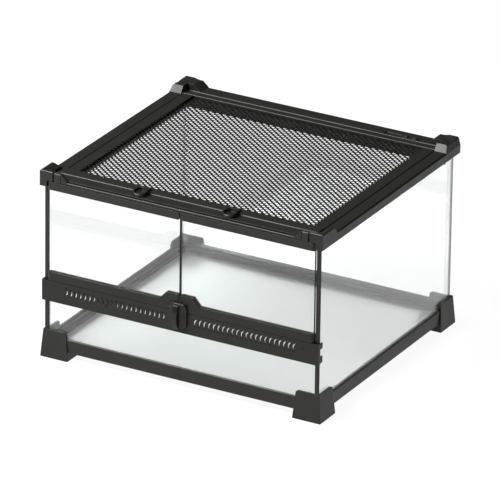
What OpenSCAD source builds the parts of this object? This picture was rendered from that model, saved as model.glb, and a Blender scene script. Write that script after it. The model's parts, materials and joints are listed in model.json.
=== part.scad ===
// Front-opening glass terrarium with a hinged mesh lid.
// X runs to the right, Y to the back and Z up. The origin is on the floor, in the
// middle of the overall footprint, which the lock knob at the front is part of.

/* [Overall] */
// Width of the top frame
frame_w = 315; // [300:1:360]
// Depth of the top frame
frame_d = 284; // [270:1:330]
// Height to the top of the corner blocks
total_h = 200; // [196:1:260]

/* [Glass] */
// Thickness of every pane
glass_t = 3; // [3:0.5:4]
// Height of the top edge of the fixed front pane
low_glass_top = 66; // [64:1:67]

/* [Base] */
// Bottom and top of the base rails
rail_bottom = 9; // [8:0.5:10]
rail_top = 23; // [22:0.5:25]
// Width of a foot on the floor
foot_w = 31; // [28:0.5:34]
// Height of a foot
foot_h = 29.5; // [27:0.5:34]
// How far the faces of a foot lean in towards the top
foot_lean = 2.3; // [1.5:0.1:2.4]

/* [Top frame] */
// Height of the frame's skirt, from its lower edge to the rim
skirt_h = 9.5; // [9:0.5:10]
// How far the corner blocks stand above the rim
block_h = 7; // [4:0.5:8]
// Width of the rim at the sides and at the rear
rim_w = 13.7; // [12:0.1:15]
rear_rim_w = 17; // [15:0.5:18]

/* [Front strip and doors] */
// Lower and upper edge of the fixed vent strip
strip_bottom = 62; // [60:1:63]
strip_top = 84; // [82:1:84]
// Height of the doors' bottom rails, and of the hump beside the knob
door_rail_h = 8.8; // [8:0.2:10]
hump_h = 8.2; // [6:0.2:10]
// Vent slots on each side of the knob, and their spacing
slot_count = 22; // [12:1:22]
slot_pitch = 5.21; // [5:0.01:5.3]

/* [Lid] */
// Half the width of the mesh opening
mesh_half_w = 131; // [125:1:132]
// Spacing of the mesh openings along X and Y
cell_x = 21.8; // [20:0.1:30]
cell_y = 17.4; // [17:0.1:25]

/* [Knob] */
// Width and height of the knob's plate
knob_w = 19; // [17:0.5:19]
knob_h = 26; // [24:0.5:27]
// How far the knob stands out in front of the frame
knob_reach = 10; // [8:0.5:12]

/* [Hidden] */
$fn = 48;

// Finishes
plastic = [0.22, 0.22, 0.21];
clear = [0.88, 0.93, 0.91, 0.35];
frosted = [0.86, 0.89, 0.87, 0.8];
silicone = [0.6, 0.61, 0.6];
steel = [0.62, 0.63, 0.64];
wire = [0.16, 0.16, 0.15];

// Play between faces that move past each other
play = 0.3;
half_w = frame_w / 2;
half_d = frame_d / 2;
rim_z = total_h - block_h;
skirt_z = rim_z - skirt_h;

// Glass planes
side_out = half_w - 4.5;
side_in = side_out - glass_t;
rear_out = half_d - 6;
rear_in = rear_out - glass_t;
front_out = -(half_d - 5.2);
front_in = front_out + glass_t;
glass_bottom = rail_bottom + 3.3;
glass_top = rim_z - 3.5;

// Base rails: outer faces, inner lip, ledge and flange, as distances and levels
base_x = side_out + 2;
base_y = half_d - 3.4;
lip_in = 7.2;
ledge_in = 10;
flange_in = 16;
lip_z = rail_top - 3;
ledge_z = rail_top - 6.5;
floor_z = rail_bottom + 3;
foot_x = half_w;
foot_y = half_d - 1;

// Front posts are channels over the front edges of the side panes
post_wall = 0.8;
post_front = -(half_d - 3.8);
post_back = post_front + 1.4;
post_in = side_in - post_wall;

// Rim, ledge under the lid, and the beam over the doors
rim_in_x = half_w - rim_w;
rim_in_y = half_d - rear_rim_w;
ledge_w = 5;
seat_z = skirt_z + 2.5;
beam_z = rim_z - 3;
beam_t = 1.2;
lip_t = 1.8;
lip_top = rim_z - 1.1;
web_front = -(half_d - 7.6);
web_back = web_front + 4.4;
web_bottom = skirt_z - 2;
cap_x = 149.6 / 157.5 * half_w;

// Corner blocks: raised length and slope, along X and along Y
front_run_x = 24;
front_slope_x = 6.6;
front_run_y = 22;
front_slope_y = 7;
rear_run_x = 21;
rear_slope_x = 8;
rear_run_y = 25;
rear_slope_y = 5;
front_wall = 3;
side_wall = 8.7;
rear_wall = 16;

// Doors turn on pins in the middle of their rails
door_front = -half_d;
door_t = 7;
pivot_y = door_front + door_t / 2;
pivot_x = post_in - door_t / 2 - 0.1;
pane_front = door_front + 2;
door_gap = 0.5;
seal_w = 0.4;
door_bottom = strip_top + 0.5;
door_rail_top = door_bottom + door_rail_h;
hump_top = door_rail_top + hump_h;
door_top_bottom = web_bottom - 0.5;
door_top = beam_z - 0.8;
ear_x = [half_w - 23.2, half_w - 16];
ear_t = 1.8;
edge_cut = 0.6;
pin_r = 1.5;
pin_fit = 0.05;
pin_end = 1.4;

// Knob on its spindle, and the tab of the strip behind its upper half
knob_z = strip_top - 3.5;
spindle_r = 2.5;
plate_t = 2;
plate_back = door_front - 0.2;
tab_half = knob_w / 2 + 0.5;
tab_top = knob_z + knob_h / 2 + 0.3;
notch_half = tab_half + 0.4;
notch_top = tab_top + 0.4;
fin_t = 5.5;

// Lid: outer edges, hinge axis and the seat of the mesh
lid_x = rim_in_x - 0.6;
lid_front = -(half_d - 2.6);
lid_rear = rim_in_y - 1;
lid_under = seat_z + play;
mesh_z = rim_z - 3.4;
mesh_t = 1;
mesh_front = -(half_d - 30);
mesh_rear = rim_in_y - 10.5;
ridge_front = -(half_d - 15.8);
ridge_up = 1;
hinge_y = lid_rear - 3.5;
hinge_z = rim_z - 3;

// Sliding clips that lock the lid under the front beam
clip_x = 50;
clip_w = 13;
clip_r = 7.3;
clip_y = -(half_d - 9.7);
clip_front_z = rim_z + 3.7;
clip_back_z = rim_z + 6.3;
clip_travel = 4.6;
tongue_z = rim_z - 6.5;
tongue_t = 1.8;

// Cable inlet through the rear rail, with a sliding gate over it
inlet_x = 108;
inlet_w = 16;
inlet_d = 5;
inlet_y = rim_in_y + 4.2;
apron_z = skirt_z - 6.5;
apron_back = rim_in_y - ledge_w + 1.6;
gate_w = 20;
gate_d = 6.8;
gate_travel = 18;
gate_sink = 0.9;

// The whole model moves back by this, so that the origin is mid-footprint
origin_shift = knob_reach / 2;

// ---- helpers -------------------------------------------------------------

module placed() {
    translate([0, origin_shift, 0]) children();
}

// A profile drawn as (y, z), running from x0 to x1
module along_x(x0, x1, profile) {
    translate([x0, 0, 0])
        rotate([90, 0, 90])
        linear_extrude(x1 - x0)
        polygon(profile);
}

// A profile drawn as (x, z), running from y0 to y1
module along_y(y0, y1, profile) {
    translate([0, y1, 0])
        rotate([90, 0, 0])
        linear_extrude(y1 - y0)
        polygon(profile);
}

// A box between two corners
module block(low, high) {
    translate(low) cube(high - low);
}

// The right-hand piece, or its mirror image on the left
module on_side(side) {
    if (side < 0) {
        mirror([1, 0, 0]) children();
    } else {
        children();
    }
}

// The front piece, or its mirror image at the rear
module at_end(end) {
    if (end > 0) {
        mirror([0, 1, 0]) children();
    } else {
        children();
    }
}

// Points of an arc, in degrees
function arc(c, r, a0, a1, n = 6) =
    [for (i = [0:n]) c + r * [cos(a0 + (a1 - a0) * i / n), sin(a0 + (a1 - a0) * i / n)]];

// ---- base ----------------------------------------------------------------

// Section of a base rail: u runs in from the outer face at "face" to the glass at "slot"
function base_section(face, slot) = [
    [face, rail_bottom],
    [face - flange_in, rail_bottom],
    [face - flange_in, floor_z],
    [face - ledge_in, floor_z],
    [face - ledge_in, ledge_z],
    [face - lip_in, ledge_z],
    [face - lip_in, lip_z],
    [slot - glass_t, lip_z],
    [slot - glass_t, glass_bottom],
    [slot, glass_bottom],
    [slot, rail_top],
    [face - 0.6, rail_top],
    [face, rail_top - 0.6]
];

// Outline of the same section with its glass slot closed
function base_envelope(face) = [
    [face, rail_bottom],
    [face - flange_in, rail_bottom],
    [face - flange_in, floor_z],
    [face - ledge_in, floor_z],
    [face - ledge_in, ledge_z],
    [face - lip_in, ledge_z],
    [face - lip_in, rail_top],
    [face, rail_top]
];

// Side rail, notched where the front and rear panes stand in it
module base_side_rail(side) {
    color(plastic) placed() on_side(side)
        difference() {
            along_y(-base_y, base_y, base_section(base_x, side_out));
            block([0, front_out, glass_bottom], [side_in, front_in, rail_top + 1]);
            block([0, rear_in, glass_bottom], [side_out, rear_out, rail_top + 1]);
        }
}

// Front or rear rail, ending where the side rails begin
module base_cross_rail(end, slot) {
    color(plastic) placed()
        difference() {
            at_end(-end)
                along_x(-base_x, base_x, base_section(base_y, slot));
            for (side = [-1, 1])
                on_side(side) along_y(-base_y - 1, base_y + 1, base_envelope(base_x));
            if (end < 0)
                block([-0.2, -base_y - 1, rail_bottom - 1], [0.2, -base_y + 0.25, rail_top + 1]);
        }
}

// Leaning outline of a foot from its outer face inwards, with a rounded inner shoulder
function foot_outline(face) = concat(
    [[face, 0], [face - foot_lean, foot_h]],
    arc([face - foot_w + foot_lean + 3, foot_h - 3], 3, 90, 180),
    [[face - foot_w, 0]]
);

module foot(side, end) {
    color(plastic) placed() on_side(side) at_end(end)
        difference() {
            intersection() {
                along_y(-foot_y - 1, -foot_y + foot_w + 1, foot_outline(foot_x));
                mirror([0, 1, 0]) along_x(0, foot_x + 1, foot_outline(foot_y));
            }
            block([0, -base_y, rail_bottom], [base_x, 0, rail_top]);
            block([0, end < 0 ? front_out : -rear_out, rail_top - 1], [side_out, 0, foot_h + 1]);
            if (end < 0)
                block([post_in, post_front, rail_top - 1],
                      [side_out + post_wall, post_back, foot_h + 1]);
        }
}

module base_rail_front() { base_cross_rail(-1, -front_out); }
module base_rail_rear() { base_cross_rail(1, rear_out); }
module base_rail_left() { base_side_rail(-1); }
module base_rail_right() { base_side_rail(1); }
module foot_front_left() { foot(-1, -1); }
module foot_front_right() { foot(1, -1); }
module foot_rear_left() { foot(-1, 1); }
module foot_rear_right() { foot(1, 1); }

// ---- glass, seals and posts ----------------------------------------------

module floor_glass() {
    inset = ledge_in + 0.2;
    color(frosted) placed()
        block([-base_x + inset, -base_y + inset, floor_z],
              [base_x - inset, base_y - inset, floor_z + glass_t]);
}

module side_glass(side) {
    color(clear) placed() on_side(side)
        block([side_in, post_front + post_wall, glass_bottom], [side_out, rear_in, glass_top]);
}

module side_glass_left() { side_glass(-1); }
module side_glass_right() { side_glass(1); }

module rear_glass() {
    color(clear) placed()
        block([-side_out, rear_in, glass_bottom], [side_out, rear_out, glass_top]);
}

module front_glass_lower() {
    color(clear) placed()
        block([-post_in, front_out, glass_bottom], [post_in, front_in, low_glass_top]);
}

// Bead of silicone in the inner rear corner
module rear_seal(side) {
    bead = 4.5;
    color(silicone) placed() on_side(side)
        translate([side_in, rear_in, rail_top])
        linear_extrude(skirt_z - rail_top)
        polygon([[0, 0], [-bead, 0], [-bead * 0.4, -bead * 0.4], [0, -bead]]);
}

module rear_seal_left() { rear_seal(-1); }
module rear_seal_right() { rear_seal(1); }

// Channel pushed over the front edge of a side pane
module front_post(side) {
    outside = side_out + post_wall;
    color(plastic) placed() on_side(side)
        translate([0, 0, rail_top])
        linear_extrude(skirt_z - rail_top)
        polygon([
            [post_in, post_front + 0.4], [post_in + 0.4, post_front],
            [outside - 0.4, post_front], [outside, post_front + 0.4],
            [outside, post_back], [side_out, post_back],
            [side_out, post_front + post_wall], [side_in, post_front + post_wall],
            [side_in, post_back], [post_in, post_back]
        ]);
}

module front_post_left() { front_post(-1); }
module front_post_right() { front_post(1); }

// ---- top frame -----------------------------------------------------------

// Section of the rim from its outer face inwards, with the ledge under the lid
function rim_section(face, width) = [
    [face, skirt_z],
    [face - width - ledge_w, skirt_z],
    [face - width - ledge_w, seat_z],
    [face - width, seat_z],
    [face - width, rim_z - 0.6],
    [face - width + 0.6, rim_z],
    [face - 1.4, rim_z],
    [face, rim_z - 1.4]
];

// The panes' upper edges sit in these slots
module glass_slots() {
    for (side = [-1, 1])
        on_side(side)
            block([side_in, post_front + post_wall, 0], [side_out, rear_in, glass_top]);
    block([-side_out, rear_in, 0], [side_out, rear_out, glass_top]);
}

module top_side_rail(side) {
    color(plastic) placed()
        difference() {
            on_side(side)
                along_y(-half_d + front_run_y + front_slope_y,
                        half_d - rear_run_y - rear_slope_y,
                        rim_section(half_w, rim_w));
            glass_slots();
        }
}

module top_rail_left() { top_side_rail(-1); }
module top_rail_right() { top_side_rail(1); }

// Rear rail with a deep inner apron, the cable inlet, and the gate's groove
module top_rail_rear() {
    reach = half_w - rear_run_x - rear_slope_x;
    color(plastic) placed()
        difference() {
            union() {
                along_x(-reach, reach, rim_section(half_d, rear_rim_w));
                block([-reach, rim_in_y - ledge_w, apron_z], [reach, apron_back, skirt_z + 1]);
            }
            glass_slots();
            block([inlet_x - inlet_w / 2, inlet_y - inlet_d / 2, skirt_z - 1],
                  [inlet_x + inlet_w / 2, inlet_y + inlet_d / 2, rim_z + 1]);
            block([inlet_x - gate_w / 2 - gate_travel - play, inlet_y - gate_d / 2 - play / 2,
                   rim_z - gate_sink],
                  [inlet_x + gate_w / 2 + play, inlet_y + gate_d / 2 + play / 2, rim_z + 1]);
        }
}

// Thin beam over the doors: lip in front, web behind, windows for the lid clips
module top_beam_front() {
    reach = half_w - front_run_x - front_slope_x;
    window = clip_w / 2 - 1;
    color(plastic) placed()
        difference() {
            along_x(-reach, reach, [
                [-half_d, beam_z], [web_front, beam_z], [web_front, web_bottom],
                [web_back, web_bottom], [web_back, beam_z + beam_t],
                [-half_d + lip_t, beam_z + beam_t], [-half_d + lip_t, lip_top - 0.3],
                [-half_d + lip_t - 0.3, lip_top], [-half_d + 0.5, lip_top],
                [-half_d, lip_top - 0.5]
            ]);
            for (side = [-1, 1])
                block([side * clip_x - window, web_front - 1, tongue_z - 0.5],
                      [side * clip_x + window, web_back + 1, tongue_z + tongue_t + 0.5]);
        }
}

// Front corner: rim, beam end, raised walls, a boss, the pin's bore and room for the door's ear
module corner_front(side) {
    x_flat = half_w - front_run_x;
    x_low = x_flat - front_slope_x;
    y_flat = -half_d + front_run_y;
    y_low = y_flat + front_slope_y;
    color(plastic) placed()
        difference() {
            on_side(side) union() {
                along_y(-half_d, y_low, rim_section(half_w, rim_w));
                along_x(x_low, half_w, [
                    [-half_d, beam_z], [web_front, beam_z], [web_front, web_bottom],
                    [web_back, web_bottom], [web_back, beam_z + beam_t],
                    [-half_d, beam_z + beam_t]
                ]);
                along_y(-half_d, -half_d + front_wall, [
                    [x_low, beam_z], [half_w, beam_z], [half_w, total_h - 0.8],
                    [half_w - 0.8, total_h], [x_flat, total_h], [x_low, rim_z]
                ]);
                intersection() {
                    along_x(half_w - side_wall, half_w, [
                        [-half_d, skirt_z], [y_low, skirt_z], [y_low, rim_z],
                        [y_flat, total_h], [-half_d, total_h]
                    ]);
                    along_y(-half_d, y_low, [
                        [half_w - side_wall, skirt_z], [half_w, skirt_z],
                        [half_w, total_h - 0.8], [half_w - 0.8, total_h],
                        [half_w - 3.2, total_h], [half_w - side_wall, total_h - 4.5]
                    ]);
                }
                translate([half_w - 8, -half_d + 7.8, rim_z - 1])
                    cylinder(r = 2.1, h = 6.3);
            }
            glass_slots();
            on_side(side)
                block([0, -half_d - 1, 0], [cap_x, web_front, beam_z]);
            on_side(side)
                block([post_in, -half_d - 1, 0], [half_w + 1, web_back + 1, skirt_z]);
            on_side(side)
                translate([pivot_x, pivot_y, beam_z - 1])
                cylinder(r = pin_r + pin_fit, h = block_h);
            on_side(side)
                along_x(x_flat, half_w + 1, [
                    [-half_d - 1, total_h - edge_cut - 1], [-half_d + edge_cut + 1, total_h + 1],
                    [-half_d - 1, total_h + 1]
                ]);
            on_side(side)
                block([ear_x[0] - 0.5, -half_d - 1, skirt_z],
                      [ear_x[1] + 1.5, -half_d + ear_t + 0.4, total_h + 1]);
        }
}

module corner_front_left() { corner_front(-1); }
module corner_front_right() { corner_front(1); }

// Rear corner: rim raised over its full width, with a saddle worn into its top
module corner_rear(side) {
    x_flat = half_w - rear_run_x;
    x_low = x_flat - rear_slope_x;
    y_flat = half_d - rear_run_y;
    y_low = y_flat - rear_slope_y;
    color(plastic) placed()
        difference() {
            on_side(side) union() {
                along_y(y_low, half_d, rim_section(half_w, rim_w));
                along_x(x_low, half_w, rim_section(half_d, rear_rim_w));
                intersection() {
                    along_x(rim_in_x, half_w, [
                        [half_d, skirt_z], [y_low, skirt_z], [y_low, rim_z],
                        [y_flat, total_h], [half_d - 0.8, total_h], [half_d, total_h - 0.8]
                    ]);
                    along_y(y_low, half_d, [
                        [half_w, skirt_z], [half_w, rim_z - 1], [half_w - 2, total_h - 1],
                        [half_w - 3, total_h], [rim_in_x, total_h], [rim_in_x, skirt_z]
                    ]);
                }
                block([x_low, rim_in_y - ledge_w, apron_z], [side_in, apron_back, skirt_z + 1]);
                along_y(half_d - rear_wall, half_d, [
                    [half_w - 3, skirt_z], [half_w - 3, total_h], [x_flat, total_h],
                    [x_low, rim_z], [x_low, skirt_z]
                ]);
            }
            glass_slots();
            on_side(side)
                translate([half_w - 11, half_d - 8, total_h + 9.6])
                rotate([0, 90, -38])
                cylinder(r = 11, h = 40, center = true);
            on_side(side)
                translate([rim_in_x - 1, hinge_y, hinge_z])
                rotate([0, 90, 0])
                cylinder(r = pin_r + pin_fit, h = 1 + 4);
        }
}

module corner_rear_left() { corner_rear(-1); }
module corner_rear_right() { corner_rear(1); }

// ---- vent strip and cable gate --------------------------------------------

// Crescent opening that bulges towards the knob, drawn in (x, z)
module crescent() {
    difference() {
        translate([3.6, 0]) circle(r = 4.9);
        translate([6.4, 0]) circle(r = 6);
    }
}

// Strip over the fixed pane: front wall, shelf for the doors' pins, channel for the glass
module vent_strip() {
    wall_back = -half_d + 2;
    shelf_back = front_in + 1.5;
    reach = post_in - 0.1;
    end_x = side_out + post_wall + 0.1;
    color(plastic) placed()
        difference() {
            union() {
                along_x(-reach, reach, [
                    [-half_d, strip_bottom], [front_out, strip_bottom],
                    [front_out, low_glass_top], [front_in, low_glass_top],
                    [front_in, strip_bottom], [shelf_back, strip_bottom],
                    [shelf_back, low_glass_top + 2], [wall_back, low_glass_top + 2],
                    [wall_back, strip_top - 2], [shelf_back, strip_top - 2],
                    [shelf_back, strip_top], [-half_d, strip_top]
                ]);
                block([-end_x - 1, -half_d, strip_bottom], [end_x + 1, wall_back, strip_top]);
                for (side = [-1, 1]) {
                    on_side(side)
                        block([end_x, -half_d, strip_bottom],
                              [end_x + 1, post_front, strip_top]);
                    on_side(side)
                        block([end_x, post_front, strip_bottom + 1],
                              [end_x + 1, post_front + 4.7, strip_bottom + 8]);
                    on_side(side)
                        block([end_x, post_front, strip_top - 6],
                              [end_x + 1, post_front + 4.7, strip_top]);
                }
                block([-tab_half, -half_d, strip_top - 1], [tab_half, wall_back, tab_top]);
                translate([0, -half_d, knob_z])
                    rotate([-90, 0, 0])
                    cylinder(r = 4.6, h = 6);
            }
            translate([0, -half_d - 1, knob_z])
                rotate([-90, 0, 0])
                cylinder(r = spindle_r + pin_fit, h = 20);
            block([-5, -half_d + 6, strip_top - 3], [5, shelf_back + 1, strip_top + 1]);
            for (side = [-1, 1]) {
                on_side(side)
                    translate([pivot_x, pivot_y, strip_top - 3])
                    cylinder(r = pin_r + pin_fit, h = 4);
                for (i = [0:slot_count - 1])
                    on_side(side)
                        translate([17.6 + i * slot_pitch, wall_back + 1, 75])
                        rotate([90, 0, 0])
                        linear_extrude(4)
                        crescent();
            }
            translate([138, -half_d, 76])
                rotate([90, 0, 0])
                cylinder(r = 1.2, h = 0.8, center = true);
        }
}

// Gate over the cable inlet, with two thumb tabs
module cable_gate() {
    bottom = rim_z - gate_sink + 0.1;
    color(plastic) placed()
        union() {
            block([inlet_x - gate_w / 2, inlet_y - gate_d / 2, bottom],
                  [inlet_x + gate_w / 2, inlet_y + gate_d / 2, bottom + 1.3]);
            for (x = [-6, 4])
                along_x(inlet_x + x, inlet_x + x + 4, [
                    [inlet_y - gate_d / 2, bottom + 1], [inlet_y + 1, bottom + 1],
                    [inlet_y - 0.6, bottom + 3], [inlet_y - gate_d / 2 + 0.6, bottom + 3]
                ]);
        }
}

// ---- doors ---------------------------------------------------------------

// Rail in plan: square at the meeting edge, round about the hinge pin
module door_plan() {
    r = door_t / 2;
    polygon(concat(
        [[door_gap, pivot_y + r], [door_gap, pivot_y - r]],
        arc([pivot_x, pivot_y], r, -90, 90, 16)
    ));
}

// Space of a pane from x0 on, with its lower corner cut off slantwise behind the hump
module door_pane(x0) {
    low = door_bottom + 4;
    end = pivot_x + 2.6;
    along_y(pane_front, pane_front + glass_t, [
        [x0, hump_top - 2], [26, low], [end, low], [end, door_top - 3], [x0, door_top - 3]
    ]);
}

module door_glass(side) {
    color(clear) placed() on_side(side) door_pane(door_gap + seal_w);
}

module pin_hole(z0, z1) {
    translate([pivot_x, pivot_y, z0]) cylinder(r = pin_r, h = z1 - z0);
}

// Top rail with an ear that fills the recess of the corner block
module door_top_rail(side) {
    color(plastic) placed() on_side(side)
        difference() {
            union() {
                translate([0, 0, door_top_bottom])
                    linear_extrude(door_top - door_top_bottom)
                    door_plan();
                along_x(ear_x[0], ear_x[1], [
                    [door_front, door_top - 2], [door_front + ear_t, door_top - 2],
                    [door_front + ear_t, total_h - 0.8], [door_front + edge_cut, total_h - 0.8],
                    [door_front, total_h - 0.8 - edge_cut]
                ]);
            }
            door_pane(door_gap - 1);
            pin_hole(door_top - 2, door_top + 1);
            block([door_gap - 1, -half_d - 1, door_top_bottom - 1],
                  [door_gap + 0.9, pane_front + 0.1, door_top_bottom + 1.2]);
        }
}

// The bottom rail rises into a hump beside the knob, and is notched for the strip's tab
module door_bottom_rail(side) {
    color(plastic) placed() on_side(side)
        difference() {
            intersection() {
                translate([0, 0, door_bottom])
                    linear_extrude(hump_top - door_bottom)
                    door_plan();
                along_y(door_front - 1, 0, [
                    [0, door_bottom - 1], [half_w, door_bottom - 1], [half_w, door_rail_top],
                    [22.5, door_rail_top], [15, hump_top], [1.3, hump_top], [0, hump_top - 1.3]
                ]);
            }
            door_pane(door_gap - 1);
            pin_hole(door_bottom - 1, door_bottom + 2);
            block([-1, -half_d - 1, door_bottom - 1], [notch_half, 0, notch_top]);
        }
}

// Upper and lower hinge pin of a door, pressed into its rails
module door_pins(side) {
    color(steel) placed() on_side(side) {
        translate([pivot_x, pivot_y, door_top - 2])
            cylinder(r = pin_r, h = 2 + beam_z - door_top + beam_t + pin_end);
        translate([pivot_x, pivot_y, door_bottom + 2 - 4.3])
            cylinder(r = pin_r, h = 4.3);
    }
}

// Black strip along the meeting edge of the pane
module door_edge_seal(side) {
    color(plastic) placed() on_side(side)
        block([door_gap - 0.2, pane_front + 0.2, hump_top],
              [door_gap + seal_w, pane_front + 1.4, door_top_bottom]);
}

module left_door_glass() { door_glass(-1); }
module left_door_top_rail() { door_top_rail(-1); }
module left_door_bottom_rail() { door_bottom_rail(-1); }
module left_door_pins() { door_pins(-1); }
module left_door_edge_seal() { door_edge_seal(-1); }
module right_door_glass() { door_glass(1); }
module right_door_top_rail() { door_top_rail(1); }
module right_door_bottom_rail() { door_bottom_rail(1); }
module right_door_pins() { door_pins(1); }
module right_door_edge_seal() { door_edge_seal(1); }

// ---- lock knob -----------------------------------------------------------

// Plate with round corners, in (x, z)
function plate_outline(w, h, r) = concat(
    arc([w / 2 - r, h / 2 - r], r, 0, 90),
    arc([-w / 2 + r, h / 2 - r], r, 90, 180),
    arc([-w / 2 + r, -h / 2 + r], r, 180, 270),
    arc([w / 2 - r, -h / 2 + r], r, 270, 360)
);

// Turn-knob: plate, central fin with hollow flanks, and the spindle behind it
module latch_knob() {
    fin_y = -half_d - knob_reach;
    hollow_r = 9;
    color(plastic) placed()
        translate([0, 0, knob_z])
        union() {
            translate([0, plate_back, 0])
                rotate([90, 0, 0])
                linear_extrude(plate_t)
                polygon(plate_outline(knob_w, knob_h, 5));
            difference() {
                intersection() {
                    block([-7.5, fin_y, -knob_h / 2 + 0.6], [7.5, plate_back, knob_h / 2 - 0.6]);
                    rotate([0, 90, 0])
                        translate([0, fin_y + 30, -10])
                        cylinder(r = 30, h = 20, $fn = 120);
                }
                for (side = [-1, 1])
                    on_side(side)
                        translate([fin_t / 2 + hollow_r, plate_back - plate_t - hollow_r + 1.6, -20])
                        cylinder(r = hollow_r, h = 40);
            }
            translate([0, plate_back - 0.5, 0])
                rotate([-90, 0, 0])
                cylinder(r = spindle_r, h = 8.2);
        }
}

// Clip washer that keeps the spindle in the strip
module knob_retainer() {
    color(steel) placed()
        translate([0, -half_d + 6.3, knob_z])
        rotate([-90, 0, 0])
        difference() {
            cylinder(r = 4.2, h = 0.9);
            translate([0, 0, -1]) cylinder(r = spindle_r, h = 3);
        }
}

// ---- lid -----------------------------------------------------------------

module lid_side_rail(side) {
    color(plastic) placed() on_side(side)
        difference() {
            along_y(mesh_front, mesh_rear, [
                [lid_x, lid_under], [lid_x, rim_z - 0.4], [lid_x - 0.4, rim_z],
                [mesh_half_w, rim_z], [mesh_half_w, mesh_z + mesh_t],
                [mesh_half_w + 2, mesh_z + mesh_t], [mesh_half_w + 2, mesh_z],
                [mesh_half_w - 2, mesh_z], [mesh_half_w - 2, lid_under]
            ]);
        }
}

module lid_rail_left() { lid_side_rail(-1); }
module lid_rail_right() { lid_side_rail(1); }

// Rear rail of the lid, with the hinge pins' sockets in its ends
module lid_rail_rear() {
    color(plastic) placed()
        difference() {
            along_x(-lid_x, lid_x, [
                [mesh_rear, mesh_z + mesh_t], [mesh_rear, rim_z + 0.1], [mesh_rear + 0.5, rim_z + 0.6],
                [mesh_rear + 1.3, rim_z + 0.6], [mesh_rear + 1.7, rim_z],
                [lid_rear - 1.6, rim_z], [lid_rear, rim_z - 1.6],
                [lid_rear, hinge_z - 1.5], [hinge_y + 1.1, lid_under],
                [mesh_rear - 2, lid_under], [mesh_rear - 2, mesh_z],
                [mesh_rear + 2, mesh_z], [mesh_rear + 2, mesh_z + mesh_t]
            ]);
            for (side = [-1, 1])
                on_side(side) {
                    block([mesh_half_w - 2, mesh_rear - 3, 0], [half_w, mesh_rear, 300]);
                    translate([lid_x - 6, hinge_y, hinge_z])
                        rotate([0, 90, 0])
                        cylinder(r = pin_r, h = 7);
                }
        }
}

// Front rail of the lid: a thin apron over the beam, then a raised border with clip slots
module lid_rail_front() {
    apron = beam_z + beam_t + play;
    under = rim_z - 4;
    slot_half = 3;
    color(plastic) placed()
        difference() {
            along_x(-lid_x, lid_x, [
                [lid_front, apron], [lid_front, rim_z + 0.2], [ridge_front, rim_z + 0.2],
                [ridge_front, rim_z + ridge_up - 0.5], [ridge_front + 0.5, rim_z + ridge_up],
                [mesh_front - 1, rim_z + ridge_up], [mesh_front, rim_z],
                [mesh_front, mesh_z + mesh_t], [mesh_front - 2, mesh_z + mesh_t],
                [mesh_front - 2, mesh_z], [mesh_front, mesh_z], [mesh_front, under],
                [web_back + 0.6, under], [web_back + 0.6, apron]
            ]);
            for (side = [-1, 1]) {
                block([side * clip_x - slot_half, mesh_front - 11 - clip_travel, under - 1],
                      [side * clip_x + slot_half, mesh_front - 6, rim_z + 5]);
                on_side(side)
                    block([half_w - front_run_x - front_slope_x - 0.6, lid_front - 1, 0],
                          [half_w, -half_d + front_wall + 0.6, 300]);
                on_side(side)
                    block([pivot_x - 3.6, lid_front - 1, 0], [half_w, pivot_y + 4, 300]);
            }
        }
}

// Expanded mesh: a sheet with staggered diamond openings
module lid_mesh() {
    edge = 1.8;
    strand = 2.4;
    half_x = mesh_half_w + edge;
    y0 = mesh_front - edge;
    y1 = mesh_rear + edge;
    rows = floor((mesh_rear - mesh_front) / cell_y);
    cols = floor(2 * mesh_half_w / cell_x);
    y_first = (mesh_front + mesh_rear - rows * cell_y) / 2;
    x_first = -cols * cell_x / 2;
    diamond = [[cell_x / 2 - strand, 0], [0, cell_y / 2 - strand],
               [-cell_x / 2 + strand, 0], [0, -cell_y / 2 + strand]];
    color(wire) placed()
        translate([0, 0, mesh_z])
        linear_extrude(mesh_t)
        difference() {
            translate([-half_x, y0]) square([2 * half_x, y1 - y0]);
            for (row = [0:rows - 1], col = [0:cols - 1])
                translate([x_first + (col + 0.5) * cell_x, y_first + (row + 0.5) * cell_y])
                    polygon(diamond);
            for (row = [1:rows - 1], col = [1:cols - 1])
                translate([x_first + col * cell_x, y_first + row * cell_y])
                    polygon(diamond);
        }
}

// Stub pins at the rear corners of the lid
module lid_hinge_pins() {
    color(steel) placed()
        for (side = [-1, 1])
            on_side(side)
                translate([lid_x - 6, hinge_y, hinge_z])
                rotate([0, 90, 0])
                cylinder(r = pin_r, h = 10);
}

// Round thumb button with a dished, rising top, a tail over the lid's slot, and a tongue
// that runs under the front beam
module lid_clip(side) {
    top = rim_z + ridge_up + play;
    stem_front = mesh_front - 10.6;
    tail = stem_front + 5;
    nose = clip_y - clip_r;
    heel = clip_y + clip_r;
    color(plastic) placed()
        translate([side * clip_x, 0, 0])
        union() {
            difference() {
                intersection() {
                    translate([0, clip_y, rim_z]) cylinder(r = clip_r, h = 10);
                    along_x(-clip_r, clip_r, [
                        [nose, rim_z + 0.5], [ridge_front - play, rim_z + 0.5],
                        [ridge_front - play, top], [heel, top], [heel, clip_back_z],
                        [nose + 0.8, clip_front_z], [nose, clip_front_z - 0.8]
                    ]);
                }
                translate([0, clip_y + 0.2, top + 1.2]) cylinder(r = clip_r - 1.7, h = 10);
            }
            block([-clip_w / 2 + 2, clip_y, top], [clip_w / 2 - 2, tail, top + 1.2]);
            block([-2.7, stem_front, tongue_z], [2.7, stem_front + 4, top + 0.5]);
            block([-4.6, web_back + 0.6, tongue_z], [4.6, stem_front + 4, tongue_z + tongue_t]);
        }
}

module lid_clip_left() { lid_clip(-1); }
module lid_clip_right() { lid_clip(1); }

// ---- parts ---------------------------------------------------------------

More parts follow.
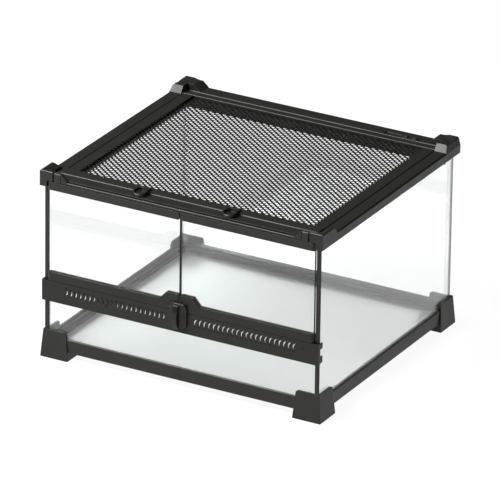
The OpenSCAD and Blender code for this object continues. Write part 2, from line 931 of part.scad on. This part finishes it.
base_rail_front();
base_rail_rear();
base_rail_left();
base_rail_right();
foot_front_left();
foot_front_right();
foot_rear_left();
foot_rear_right();
floor_glass();
side_glass_left();
side_glass_right();
rear_glass();
front_glass_lower();
rear_seal_left();
rear_seal_right();
front_post_left();
front_post_right();
top_beam_front();
top_rail_rear();
top_rail_left();
top_rail_right();
corner_front_left();
corner_front_right();
corner_rear_left();
corner_rear_right();
vent_strip();
cable_gate();
left_door_glass();
left_door_top_rail();
left_door_bottom_rail();
left_door_pins();
left_door_edge_seal();
right_door_glass();
right_door_top_rail();
right_door_bottom_rail();
right_door_pins();
right_door_edge_seal();
latch_knob();
knob_retainer();
lid_rail_front();
lid_rail_rear();
lid_rail_left();
lid_rail_right();
lid_mesh();
lid_hinge_pins();
lid_clip_left();
lid_clip_right();
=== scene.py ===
# %% [markdown]
# # A front-opening glass terrarium
#
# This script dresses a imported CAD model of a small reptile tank: black moulded frame, glass
# panes, a hinged lid of expanded metal. The solids come from CAD and stay where they are.
# Blender adds what solids alone don't show: the grain of the plastic, the thin film on the
# glass, soft corners that catch the light, and a lid of about five thousand strands.

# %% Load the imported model
import json
import math

import bpy
from mathutils import Matrix, Vector


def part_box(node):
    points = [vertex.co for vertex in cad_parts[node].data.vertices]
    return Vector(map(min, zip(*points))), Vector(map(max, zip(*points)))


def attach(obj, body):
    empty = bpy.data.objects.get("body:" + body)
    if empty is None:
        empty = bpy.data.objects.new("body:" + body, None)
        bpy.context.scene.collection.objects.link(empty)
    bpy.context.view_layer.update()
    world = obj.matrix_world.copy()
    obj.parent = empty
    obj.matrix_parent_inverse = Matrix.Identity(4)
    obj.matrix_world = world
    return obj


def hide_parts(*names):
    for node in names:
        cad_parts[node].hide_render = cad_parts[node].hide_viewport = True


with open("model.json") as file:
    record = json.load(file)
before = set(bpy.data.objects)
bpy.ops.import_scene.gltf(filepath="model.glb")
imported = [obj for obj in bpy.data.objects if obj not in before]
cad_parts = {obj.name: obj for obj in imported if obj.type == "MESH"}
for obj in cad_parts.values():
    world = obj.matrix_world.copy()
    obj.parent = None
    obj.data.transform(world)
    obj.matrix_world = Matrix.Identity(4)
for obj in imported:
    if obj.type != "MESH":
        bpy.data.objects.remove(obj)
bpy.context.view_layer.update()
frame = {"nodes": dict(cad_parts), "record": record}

# %% [markdown]
# ## The camera
#
# A product shot like this is taken from far away with a long lens, so that upright edges stay
# nearly parallel. A camera can be placed by eye, but a fit is surer: the angles below come from
# fitting a pinhole camera to the corners of the frame. The camera leans by under a degree.

# %% Where the camera looks
MM = 0.001
AZIMUTH, ELEVATION, ROLL = (math.radians(angle) for angle in (28.883, 23.627, 0.796))
forward = Vector(
    (
        -math.sin(AZIMUTH) * math.cos(ELEVATION),
        math.cos(AZIMUTH) * math.cos(ELEVATION),
        -math.sin(ELEVATION),
    )
)
level_right = Vector((math.cos(AZIMUTH), math.sin(AZIMUTH), 0))
level_up = level_right.cross(forward)
right = level_right * math.cos(ROLL) + level_up * math.sin(ROLL)
up = level_up * math.cos(ROLL) - level_right * math.sin(ROLL)
print("the camera looks along:", [round(part, 3) for part in forward])

# %% [markdown]
# The picture is 500 pixels square, and a 36 mm sensor spans it, so a focal length in pixels
# turns into millimetres by simple proportion. The camera's own axes are the columns of its
# rotation, which is less work here than three angles.

# %% Camera
DISTANCE = 7018 * MM
FOCAL_PIXELS = 7101
PICTURE_PIXELS = 500
SENSOR_MM = 36
FARTHEST = 100
AIM = Vector((0, 5, 90)) * MM
NUDGE_RIGHT, NUDGE_UP = -0.15 * MM, 5.70 * MM

lens = bpy.data.cameras.new("studio_camera")
lens.sensor_width = SENSOR_MM
lens.lens = FOCAL_PIXELS / PICTURE_PIXELS * SENSOR_MM
lens.clip_end = FARTHEST
camera = bpy.data.objects.new("studio_camera", lens)
place = AIM - forward * DISTANCE + right * NUDGE_RIGHT + up * NUDGE_UP
turn = Matrix((right, up, -forward)).transposed().to_4x4()
camera.matrix_world = Matrix.Translation(place) @ turn
scene = bpy.context.scene
scene.collection.objects.link(camera)
scene.camera = camera
scene.view_settings.view_transform = "Standard"
print("lens in mm:", round(lens.lens, 1))

# %% [markdown]
# ## Small helpers for node trees
#
# Every finish below is a tree of nodes. A tree can be drawn by hand in the editor, but in a
# script one helper is enough: it adds a node and fills its inputs. Where the value that it gets
# is another node's output, it links the two. The rest are short names for nodes that come often.


# %% Node helpers
def add(tree, kind, inputs=None, **settings):
    """Adds a node, sets its own settings, then sets or links its inputs by name or number."""
    made = tree.nodes.new(kind)
    for key, value in settings.items():
        setattr(made, key, value)
    for key, value in (inputs or {}).items():
        if isinstance(value, bpy.types.NodeSocket):
            tree.links.new(value, made.inputs[key])
        else:
            made.inputs[key].default_value = value
    return made


def calc(tree, operation, *values):
    """A Math node on numbers or outputs."""
    return add(tree, "ShaderNodeMath", dict(enumerate(values)), operation=operation).outputs[0]


def largest(tree, values):
    """The largest of several outputs."""
    result = values[0]
    for other in values[1:]:
        result = calc(tree, "MAXIMUM", result, other)
    return result


def mix(tree, kind, share, first, second):
    """Mixes numbers (kind FLOAT) or colours (kind RGBA): share 0 gives the first, 1 the second."""
    inputs = {"Factor": share, "A": first, "B": second}
    return add(tree, "ShaderNodeMix", inputs, data_type=kind).outputs["Result"]


def blend(tree, share, first, second):
    """Mixes two shaders: share 0 shows the first, 1 the second."""
    return add(tree, "ShaderNodeMixShader", {"Fac": share, 1: first, 2: second}).outputs[0]


# %% [markdown]
# Real surfaces are never the same everywhere, so each finish here varies with a noise. Its
# coordinates are the object's own, so the pattern moves with a piece when a joint turns it.


# %% Material helpers
def new_material(name):
    """An empty material, its node tree and its output node."""
    made = bpy.data.materials.new(name)
    made.use_nodes = True
    made.node_tree.nodes.clear()
    return made, made.node_tree, add(made.node_tree, "ShaderNodeOutputMaterial")


def object_noise(tree, scale, detail, stretch=(1, 1, 1)):
    """Noise from 0 to 1 that is fixed to the object."""
    point = add(tree, "ShaderNodeTexCoord").outputs["Object"]
    if stretch != (1, 1, 1):
        point = add(tree, "ShaderNodeMapping", {"Vector": point, "Scale": stretch}).outputs[0]
    inputs = {"Vector": point, "Scale": scale, "Detail": detail}
    return add(tree, "ShaderNodeTexNoise", inputs).outputs["Fac"]


def spread(tree, value, low, high, start=0.0, stop=1.0):
    """Maps a value from start..stop to low..high."""
    inputs = {"Value": value, "From Min": start, "From Max": stop, "To Min": low, "To Max": high}
    return add(tree, "ShaderNodeMapRange", inputs).outputs["Result"]


def grey(level):
    """A neutral colour."""
    return (level, level, level, 1)


# %% [markdown]
# ## The room
#
# Black plastic shows its form by what it mirrors, not by its own colour, so the room around it
# matters as much as the lamps. A photo of a studio could surround the tank, but a plain dim
# room is enough: it is darkest to glossy surfaces, so flat tops look darker than the sides,
# which mirror the white table. The camera, and the rays that glass lets through, see it white.

# %% World
ROOM_FILL = 0.16
ROOM_IN_GLOSS = 0.06

world = bpy.data.worlds.new("studio_room")
scene.world = world
world.use_nodes = True
room = world.node_tree
room.nodes.clear()
room_rays = add(room, "ShaderNodeLightPath").outputs
dim = mix(room, "FLOAT", room_rays["Is Glossy Ray"], ROOM_FILL, ROOM_IN_GLOSS)
room_seen = largest(room, [room_rays["Is Camera Ray"], room_rays["Is Transmission Ray"]])
strength = mix(room, "FLOAT", room_seen, dim, 1.0)
sky = add(room, "ShaderNodeBackground", {"Color": grey(1), "Strength": strength})
add(room, "ShaderNodeOutputWorld", {"Surface": sky.outputs[0]})
print("room level:", ROOM_FILL, "and in gloss:", ROOM_IN_GLOSS)

# %% [markdown]
# ## The lamps
#
# In the studio a large soft lamp stands high in front and to the left. It draws the thin bright
# lines on the front edges. A small lamp would draw harder lines and a hard shadow, so this is a
# wide square area lamp. Two weak ones lift the right side and the tops a little.

# %% Lamps
# name, direction from the tank, distance and width in metres, power in watts
LAMPS = (
    ("key_lamp", (-0.44, -0.50, 0.74), 1.6, 0.9, 66),
    ("side_lamp", (0.95, -0.25, 0.30), 2.0, 1.2, 1.5),
    ("top_lamp", (0.15, 0.25, 1.0), 1.8, 1.2, 3),
)
for name, direction, distance, width, power in LAMPS:
    data = bpy.data.lights.new(name, "AREA")
    data.shape = "SQUARE"
    data.size = width
    data.energy = power
    lamp = bpy.data.objects.new(name, data)
    where = Vector(direction).normalized() * distance
    toward_tank = (-where).to_track_quat("-Z", "Y").to_matrix().to_4x4()
    lamp.matrix_world = Matrix.Translation(where + AIM) @ toward_tank
    scene.collection.objects.link(lamp)
    print(name, power, "W,", width, "m wide")

# %% [markdown]
# ## The table
#
# The tank stands on a white table that runs out of the picture. Lamps strong enough to make a
# plain white table look white would wash out the tank. So the table's material asks what kind
# of ray has met it. For the camera, glass and gloss it glows white, with a thin matte part that
# keeps the tank's soft shadow. For all other light it is a plain matte white.

# %% Table finish
TABLE_WHITE, SHADOW_SHARE, GLOW = 0.80, 0.10, 0.92
GLOWS_FOR = ("Is Camera Ray", "Is Glossy Ray", "Is Transmission Ray")


def table_finish():
    """White that glows for what the picture shows and is matte for all other light."""
    made, tree, end = new_material("white_table")
    matte = add(tree, "ShaderNodeBsdfDiffuse", {"Color": grey(TABLE_WHITE)})
    shade = add(tree, "ShaderNodeBsdfDiffuse", {"Color": grey(SHADOW_SHARE)})
    glow = add(tree, "ShaderNodeEmission", {"Color": grey(1), "Strength": GLOW})
    bright = add(tree, "ShaderNodeAddShader", {0: shade.outputs[0], 1: glow.outputs[0]})
    rays = add(tree, "ShaderNodeLightPath").outputs
    shown = largest(tree, [rays[kind] for kind in GLOWS_FOR])
    surface = blend(tree, shown, matte.outputs[0], bright.outputs[0])
    tree.links.new(surface, end.inputs["Surface"])
    return made


table_white = table_finish()
print("table glows at", GLOW, "and takes", SHADOW_SHARE, "of the lamps' light")

# %% [markdown]
# The table is one flat square, so wide that its edge never shows. A Plane could be added and
# scaled, but four corners say it plainly. It belongs to the studio and not to the tank.

# %% Table
TABLE_HALF = 3.0

table_mesh = bpy.data.meshes.new("table_top")
corners = [(-1, -1), (1, -1), (1, 1), (-1, 1)]
points = [(x * TABLE_HALF, y * TABLE_HALF, 0) for x, y in corners]
table_mesh.from_pydata(points, [], [(0, 1, 2, 3)])
table_mesh.materials.append(table_white)
table = bpy.data.objects.new("table_top", table_mesh)
scene.collection.objects.link(table)
print("table is", 2 * TABLE_HALF, "m square")

# %% [markdown]
# ## Moulded black plastic
#
# The frame is injection-moulded and the steel mould was spark-eroded, which leaves a fine even
# grain that takes the mirror shine away. The grain could be a picture, but a fine noise in the
# bump does it at any scale. Slow noise adds the faint unevenness of real mouldings in colour and
# roughness. A Bevel node rounds what the light sees of each sharp edge by a fraction of a
# millimetre, which is what a real mould does.

# %% Plastic
MOTTLE_SCALE = 45.0
MOTTLE_LOW, MOTTLE_HIGH = 0.3, 0.7
COLOUR_SWING, ROUGHNESS_SWING = 0.14, 0.05
GRAIN_STRENGTH, GRAIN_DEPTH = 0.35, 0.05 * MM
BEVEL_SAMPLES = 6


def plastic(name, colour, roughness, grain_mm, edge_mm, shine):
    """A black moulded plastic with grain, soft edges and slight unevenness."""
    made, tree, end = new_material(name)
    slow = object_noise(tree, MOTTLE_SCALE, detail=3.0)
    darker = (*[part * (1 - COLOUR_SWING) for part in colour], 1)
    lighter = (*[part * (1 + COLOUR_SWING) for part in colour], 1)
    smoother, rougher = roughness - ROUGHNESS_SWING, roughness + ROUGHNESS_SWING
    soft = add(tree, "ShaderNodeBevel", {"Radius": edge_mm * MM}, samples=BEVEL_SAMPLES)
    bump = add(
        tree,
        "ShaderNodeBump",
        {
            "Strength": GRAIN_STRENGTH,
            "Distance": GRAIN_DEPTH,
            "Height": object_noise(tree, 1 / (grain_mm * MM), detail=2.0),
            "Normal": soft.outputs["Normal"],
        },
    )
    body = add(
        tree,
        "ShaderNodeBsdfPrincipled",
        {
            "Specular IOR Level": shine,
            "Base Color": mix(tree, "RGBA", slow, darker, lighter),
            "Roughness": spread(tree, slow, smoother, rougher, MOTTLE_LOW, MOTTLE_HIGH),
            "Normal": bump.outputs["Normal"],
        },
    )
    tree.links.new(body.outputs[0], end.inputs["Surface"])
    return made


# %% [markdown]
# One plastic doesn't fit all. The frame is plain satin. The doors' bottom rails and the vent
# strip come from another mould with crisper edges. The knob is turned by hand all the time, so
# it is the smoothest. The clips have the frame's grain and rounder edges, and the strips on the
# doors' meeting edges are the dullest.

# %% Five plastics
frame_black = plastic("frame_black", (0.0128, 0.0128, 0.0105), 0.36, 0.35, 0.6, 0.22)
door_black = plastic("door_black", (0.0120, 0.0120, 0.0100), 0.38, 0.35, 0.12, 0.18)
thumb_black = plastic("thumb_black", (0.0065, 0.0065, 0.0058), 0.24, 0.30, 0.7, 0.32)
clip_black = plastic("clip_black", (0.0110, 0.0110, 0.0095), 0.36, 0.30, 0.9, 0.22)
strip_black = plastic("strip_black", (0.006, 0.006, 0.006), 0.50, 0.30, 0.2, 0.3)
plastics = (frame_black, door_black, thumb_black, clip_black, strip_black)
print("plastics:", [made.name for made in plastics])

# %% [markdown]
# ## Glass
#
# The panes are 3 mm float glass. A Principled shader with full transmission bends light and
# mirrors a little of the white table. Handling leaves a thin film on glass: a weak white matte
# part, uneven as smears are, that lifts the black seen through it. The floor pane is satin, so
# what it mirrors and what is seen through it are blurred.


# %% The large faces of a pane
GLASS_IOR, GLASS_SHINE = 1.5, 0.4
DUST_WHITE = 0.90
SMEAR_SCALE = 9.0
THINNEST, THICKEST = 0.4, 1.6


def large_face(tree, tint, film, satin):
    """Clear glass under a thin uneven film."""
    clear = add(
        tree,
        "ShaderNodeBsdfPrincipled",
        {
            "Base Color": (*tint, 1),
            "IOR": GLASS_IOR,
            "Transmission Weight": 1.0,
            "Specular IOR Level": GLASS_SHINE,
            "Roughness": satin,
        },
    )
    dust = add(tree, "ShaderNodeBsdfDiffuse", {"Color": grey(DUST_WHITE)})
    smear = object_noise(tree, SMEAR_SCALE, detail=3.0)
    veil = spread(tree, smear, THINNEST * film, THICKEST * film)
    return blend(tree, veil, clear.outputs[0], dust.outputs[0])


# %% [markdown]
# The narrow ends of a pane are ground. Seen from outside they are a grey veil. Light that comes
# to an end from inside the glass would bounce along the pane and show bright and dark bands,
# but in the tank most ends are bedded in sealant or in a rail, which lets it out or swallows
# it. So an end lets that light out unbent, weakened by a share that each pane has of its own.


# %% The ground ends of a pane
END_VEIL = 0.75
END_ROUGHNESS, END_SHINE = 0.45, 0.3
END_TINT = (0.96, 1.0, 0.98)


def ground_end(tree, inner_end, end_colour):
    """A veiled end from outside, a way out for light from inside."""
    leaving = (*[inner_end * part for part in END_TINT], 1)
    through = add(tree, "ShaderNodeBsdfTransparent", {"Color": leaving})
    grit = add(
        tree,
        "ShaderNodeBsdfPrincipled",
        {
            "Base Color": (*end_colour, 1),
            "Roughness": END_ROUGHNESS,
            "Specular IOR Level": END_SHINE,
        },
    )
    from_inside = add(tree, "ShaderNodeNewGeometry").outputs["Backfacing"]
    veil = calc(tree, "MULTIPLY", calc(tree, "SUBTRACT", 1.0, from_inside), END_VEIL)
    return blend(tree, veil, through.outputs[0], grit.outputs[0])


# %% [markdown]
# One material serves all faces of a pane. The normal tells them apart: where it doesn't point
# across the pane, the face is an end. Cycles looks for the lamps with straight shadow rays. They
# would stop at glass that bends light, and the tank would be dark inside, so shadow rays pass
# straight through, slightly tinted.


# %% Pane glass
LAMP_TINT = (0.94, 0.965, 0.955, 1)
HALF_TURNED = 0.5


def pane_glass(name, across, tint, film, inner_end, end_colour, satin=0.0):
    """Glass for a pane whose thickness runs along one axis: 0 for X, 1 for Y, 2 for Z.

    film is the share of white veil, inner_end how much light leaves through a ground end,
    end_colour what the end looks like from outside, and satin the roughness of the large faces."""
    made, tree, end = new_material(name)
    normal = add(tree, "ShaderNodeTexCoord").outputs["Normal"]
    facing = add(tree, "ShaderNodeSeparateXYZ", {0: normal}).outputs[across]
    is_end = calc(tree, "LESS_THAN", calc(tree, "ABSOLUTE", facing), HALF_TURNED)
    face = large_face(tree, tint, film, satin)
    glass = blend(tree, is_end, face, ground_end(tree, inner_end, end_colour))
    passing = add(tree, "ShaderNodeBsdfTransparent", {"Color": LAMP_TINT}).outputs[0]
    shadow_ray = add(tree, "ShaderNodeLightPath").outputs["Is Shadow Ray"]
    tree.links.new(blend(tree, shadow_ray, glass, passing), end.inputs["Surface"])
    return made


# %% [markdown]
# The left pane's rear end is bedded in clear sealant, so nearly all light leaves it. The ends
# of the doors' panes are near-black, which darkens the lines at the doors' edges. The floor
# pane's glass tint is darkened with painted shade: the table under it lies in the tank's
# shadow, which a table that glows for glass doesn't show.

# %% Five kinds of pane
# The floor pane's tint is the glass's own tint darkened with painted shade, for the tank's shadow
# on the table below.
WALL_TINT, FLOOR_TINT_AND_SHADE = (0.975, 0.985, 0.980), (0.760, 0.790, 0.778)
# The door panes' ends are near-black in place of ground grey, which darkens the lines at the
# doors' edges.
GROUND_GREY, NEAR_BLACK_END = (0.34, 0.37, 0.36), (0.012, 0.012, 0.012)

side_pane = pane_glass("side_pane_glass", 0, WALL_TINT, 0.030, 0.40, GROUND_GREY)
bedded_pane = pane_glass("bedded_pane_glass", 0, WALL_TINT, 0.030, 0.90, GROUND_GREY)
cross_pane = pane_glass("cross_pane_glass", 1, WALL_TINT, 0.012, 0.50, GROUND_GREY)
door_pane = pane_glass("door_pane_glass", 1, WALL_TINT, 0.012, 0.04, NEAR_BLACK_END)
floor_pane = pane_glass("floor_pane_glass", 2, FLOOR_TINT_AND_SHADE, 0.03, 0.50, GROUND_GREY, 0.38)
panes = (side_pane, bedded_pane, cross_pane, door_pane, floor_pane)
print("kinds of pane:", [made.name for made in panes])

# %% [markdown]
# ## Sealant
#
# A bead of clear silicone bonds each rear corner. It is smooth, slightly wavy where a finger
# drew it, and hardly seen against the glass. Glass that bends light would show it as a dark
# line, so it is a plain transparent surface with a faint wavy sheen.

# %% Clear silicone
WAVE_SCALE, WAVE_STRENGTH, WAVE_DEPTH = 60.0, 0.4, 0.2 * MM
BEAD_THICK, BEAD_THIN = (0.93, 0.94, 0.935, 1), (0.97, 0.975, 0.97, 1)
SHEEN_SHARE, SHEEN_WHITE, SHEEN_ROUGHNESS = 0.06, 0.8, 0.3


def silicone():
    """A clear bead: nearly see-through, with a faint wavy sheen."""
    made, tree, end = new_material("clear_silicone")
    wave = object_noise(tree, WAVE_SCALE, detail=2.0)
    tint = mix(tree, "RGBA", wave, BEAD_THICK, BEAD_THIN)
    through = add(tree, "ShaderNodeBsdfTransparent", {"Color": tint})
    ripple = add(
        tree,
        "ShaderNodeBump",
        {"Strength": WAVE_STRENGTH, "Distance": WAVE_DEPTH, "Height": wave},
    )
    sheen = add(
        tree,
        "ShaderNodeBsdfPrincipled",
        {
            "Base Color": grey(SHEEN_WHITE),
            "Roughness": SHEEN_ROUGHNESS,
            "Normal": ripple.outputs["Normal"],
        },
    )
    surface = blend(tree, SHEEN_SHARE, through.outputs[0], sheen.outputs[0])
    tree.links.new(surface, end.inputs["Surface"])
    return made


clear_bead = silicone()
print("finish:", clear_bead.name)

# %% [markdown]
# ## Steel
#
# The pins and the washer are plain drawn steel. Drawing pulls the wire through a ring and
# leaves faint streaks along it. A noise that is stretched along the pin gives them in the
# roughness, which is simpler than cutting grooves that nobody would see.

# %% Drawn steel
STREAK_SCALE, ALONG_PIN = 1500.0, (1, 1, 0.08)
STEEL_GREY = (0.56, 0.57, 0.58, 1)
STEEL_SMOOTH, STEEL_ROUGH = 0.22, 0.42


def steel():
    """Plain steel with streaks along the pin."""
    made, tree, end = new_material("drawn_steel")
    streak = object_noise(tree, STREAK_SCALE, detail=3.0, stretch=ALONG_PIN)
    body = add(
        tree,
        "ShaderNodeBsdfPrincipled",
        {
            "Base Color": STEEL_GREY,
            "Metallic": 1.0,
            "Roughness": spread(tree, streak, STEEL_SMOOTH, STEEL_ROUGH),
        },
    )
    tree.links.new(body.outputs[0], end.inputs["Surface"])
    return made


drawn_steel = steel()
print("finish:", drawn_steel.name)

# %% [markdown]
# ## Dress the CAD nodes
#
# Each CAD node keeps its shape and place. It gets the finish of its slot, and a few nodes have
# one of their own, such as the panes, which need the one for the direction that they face.

# %% Assign finishes
SLOT_FINISH = {
    "frame_plastic": frame_black,
    "knob_plastic": thumb_black,
    "edge_seal": strip_black,
    "silicone": clear_bead,
    "pin_steel": drawn_steel,
    "pane_glass": cross_pane,
    "floor_pane": floor_pane,
}
OWN_FINISH = {
    "left_door_bottom_rail": door_black,
    "right_door_bottom_rail": door_black,
    "vent_strip": door_black,
    "lid_clip_left": clip_black,
    "lid_clip_right": clip_black,
    "side_glass_left": bedded_pane,
    "side_glass_right": side_pane,
    "left_door_glass": door_pane,
    "right_door_glass": door_pane,
}
for part in frame["record"]["subparts"]:
    node, slot_name = part["node"], part["material_slot"]
    finish = OWN_FINISH.get(node, SLOT_FINISH.get(slot_name))
    if finish is None:
        continue
    mesh = frame["nodes"][node].data
    mesh.materials.clear()
    mesh.materials.append(finish)

# %% [markdown]
# ## The lid's expanded metal
#
# A sheet is slit and pulled so that the slits open into diamonds. What is left is a lattice of
# flat strands that lean the same way, joined in rows. Cutting thousands of diamonds out of a
# plate would be slow, and a picture of holes would look flat from the side. The lattice follows
# a rule, so Geometry Nodes build it: a grid of points at the middle of each strand, and one
# strand set on each point, turned left or right like the squares of a chessboard.

# %% Sizes of the lattice, from the CAD net
net_low, net_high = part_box("lid_mesh")
NET_INSET = 0.2 * MM
LONG_HALVES, SHORT_HALVES = 69, 76
net_width = net_high.x - net_low.x - 2 * NET_INSET
net_depth = net_high.y - net_low.y - 2 * NET_INSET
step_x, step_y = net_width / LONG_HALVES, net_depth / SHORT_HALVES
print("diamond long way, short way in mm:", round(2 * step_x / MM, 2), round(2 * step_y / MM, 2))

# %% [markdown]
# The metal is dipped in a black coat that is dull and a little speckled. A fine noise moves
# both its tone and its roughness, which costs nothing next to real specks.

# %% Finish of the strands
SPECK_SCALE = 900.0
COAT_DARK, COAT_LIGHT = (0.008, 0.008, 0.0075, 1), (0.018, 0.018, 0.017, 1)
COAT_SMOOTH, COAT_ROUGH, COAT_SHINE = 0.38, 0.56, 0.15


def strand_coat():
    """A dull black coat with fine specks."""
    made, tree, end = new_material("coated_strands")
    speck = object_noise(tree, SPECK_SCALE, detail=2.0)
    body = add(
        tree,
        "ShaderNodeBsdfPrincipled",
        {
            "Base Color": mix(tree, "RGBA", speck, COAT_DARK, COAT_LIGHT),
            "Roughness": spread(tree, speck, COAT_SMOOTH, COAT_ROUGH),
            "Specular IOR Level": COAT_SHINE,
        },
    )
    tree.links.new(body.outputs[0], end.inputs["Surface"])
    return made


coat_black = strand_coat()
print("finish:", coat_black.name)

# %% [markdown]
# The numbers that shape the lattice are named inputs of the tree, so that another lid only
# needs other numbers. The tilt is typical of expanded metal: each strand leans back a little, so
# the net looks more open from the front than from behind.

# %% The inputs of the lattice's tree
NET_INPUTS = {
    "Step X": step_x,
    "Step Y": step_y,
    "Centre Y": (net_low.y + net_high.y) / 2,
    "Level": (net_low.z + net_high.z) / 2,
    "Strand Width": 2.50 * MM,
    "Strand Thickness": 0.35 * MM,
    "Tilt": math.radians(-12),
}
net_tree = bpy.data.node_groups.new("expanded_metal", "GeometryNodeTree")
net_tree.interface.new_socket("Geometry", in_out="OUTPUT", socket_type="NodeSocketGeometry")
for label, value in NET_INPUTS.items():
    socket = net_tree.interface.new_socket(label, in_out="INPUT", socket_type="NodeSocketFloat")
    socket.default_value = value
given = add(net_tree, "NodeGroupInput").outputs
print("inputs of the tree:", list(NET_INPUTS))

# %% [markdown]
# The points come first. They could be placed one by one, but the Grid node lays them out in
# even rows, one for the middle of each strand, centred on zero.

# %% A grid of points
span_x = calc(net_tree, "MULTIPLY", given["Step X"], LONG_HALVES - 1)
span_y = calc(net_tree, "MULTIPLY", given["Step Y"], SHORT_HALVES - 1)
grid = add(
    net_tree,
    "GeometryNodeMeshGrid",
    {"Vertices X": LONG_HALVES, "Vertices Y": SHORT_HALVES, "Size X": span_x, "Size Y": span_y},
)
print("points in the grid:", LONG_HALVES * SHORT_HALVES)

# %% [markdown]
# Strands that lean left and right take turns along each row and each column. So each point
# works out its own column and row. Their sum is even or odd like the colours of a chessboard,
# and that picks the side, with no list of strands to keep.


# %% Left or right: the chessboard rule
def square_number(place_along, span, step):
    """Which square of the chessboard a point is in, along one side."""
    from_edge = calc(net_tree, "ADD", place_along, calc(net_tree, "MULTIPLY", span, 0.5))
    return calc(net_tree, "ROUND", calc(net_tree, "DIVIDE", from_edge, step))


position = add(net_tree, "GeometryNodeInputPosition").outputs[0]
along = add(net_tree, "ShaderNodeSeparateXYZ", {0: position}).outputs
column = square_number(along[0], span_x, given["Step X"])
row = square_number(along[1], span_y, given["Step Y"])
odd = calc(net_tree, "FLOORED_MODULO", calc(net_tree, "ADD", column, row), 2)
left_or_right = calc(net_tree, "SUBTRACT", 1, calc(net_tree, "MULTIPLY", odd, 2))
lean = calc(net_tree, "ARCTAN2", given["Step Y"], given["Step X"])
turn_z = calc(net_tree, "MULTIPLY", lean, left_or_right)
angles = add(net_tree, "ShaderNodeCombineXYZ", {0: given["Tilt"], 2: turn_z})
print("strands lean by", round(math.degrees(math.atan2(step_y, step_x)), 1), "degrees")

# %% [markdown]
# A strand is a flat bar: a short line with a rectangle swept along it. It is as long as the
# diagonal of one square and a little more, so that neighbours overlap at the joints, where the
# real metal is one piece.

# %% One strand
OVERLAP = 0.9 * MM
squares = [calc(net_tree, "MULTIPLY", given[name], given[name]) for name in ("Step X", "Step Y")]
diagonal = calc(net_tree, "SQRT", calc(net_tree, "ADD", *squares))
half_length = calc(net_tree, "MULTIPLY", calc(net_tree, "ADD", diagonal, OVERLAP), 0.5)
minus_half = calc(net_tree, "MULTIPLY", half_length, -1)
start_point = add(net_tree, "ShaderNodeCombineXYZ", {0: minus_half}).outputs[0]
end_point = add(net_tree, "ShaderNodeCombineXYZ", {0: half_length}).outputs[0]
axis_line = add(
    net_tree, "GeometryNodeCurvePrimitiveLine", {"Start": start_point, "End": end_point}
)
section = add(
    net_tree,
    "GeometryNodeCurvePrimitiveQuadrilateral",
    {"Width": given["Strand Width"], "Height": given["Strand Thickness"]},
)
bar = add(
    net_tree,
    "GeometryNodeCurveToMesh",
    {"Curve": axis_line.outputs[0], "Profile Curve": section.outputs[0], "Fill Caps": True},
)
print("a strand is", round((math.hypot(step_x, step_y) + OVERLAP) / MM, 2), "mm long")

# %% [markdown]
# Instances are light copies of one bar. Realize Instances turns them into real faces, so that
# what leaves the tree is one plain mesh. It is then moved into the lid's frame and painted.

# %% Set the strands and move them into the lid
strands = add(
    net_tree,
    "GeometryNodeInstanceOnPoints",
    {"Points": grid.outputs["Mesh"], "Instance": bar.outputs[0], "Rotation": angles.outputs[0]},
)
real = add(net_tree, "GeometryNodeRealizeInstances", {0: strands.outputs[0]})
offset = add(net_tree, "ShaderNodeCombineXYZ", {1: given["Centre Y"], 2: given["Level"]})
moved = add(
    net_tree,
    "GeometryNodeTransform",
    {"Geometry": real.outputs[0], "Translation": offset.outputs[0]},
)
painted = add(
    net_tree,
    "GeometryNodeSetMaterial",
    {"Geometry": moved.outputs[0], "Material": coat_black},
)
add(net_tree, "NodeGroupOutput", {0: painted.outputs[0]})
print("nodes in the lattice's tree:", len(net_tree.nodes))

# %% [markdown]
# The tree needs an object to run on. An empty mesh with a Geometry Nodes modifier will do, and
# its evaluated result is copied into a mesh of its own. The seed and its modifier then go, so
# the lattice is an ordinary object that rides on the lid in place of the coarse CAD net.


# %% Bake the tree into a plain mesh
def grow(tree_group, name, values):
    """Runs a Geometry Nodes tree once and returns its result as a plain mesh object."""
    seed = bpy.data.objects.new(name + "_seed", bpy.data.meshes.new(name + "_seed"))
    scene.collection.objects.link(seed)
    modifier = seed.modifiers.new("grow", "NODES")
    modifier.node_group = tree_group
    for item in tree_group.interface.items_tree:
        if item.in_out == "INPUT" and item.name in values:
            modifier[item.identifier] = values[item.name]
    bpy.context.view_layer.update()
    graph = bpy.context.evaluated_depsgraph_get()
    mesh = bpy.data.meshes.new_from_object(seed.evaluated_get(graph))
    seed.modifiers.clear()
    bpy.data.objects.remove(seed)
    mesh.name = name
    made = bpy.data.objects.new(name, mesh)
    scene.collection.objects.link(made)
    return made


net = grow(net_tree, "lid_expanded_metal", NET_INPUTS)
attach(net, "lid")
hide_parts("lid_mesh")
triangles = sum(len(face.vertices) - 2 for face in net.data.polygons)
print("strands:", LONG_HALVES * SHORT_HALVES, "triangles:", triangles)
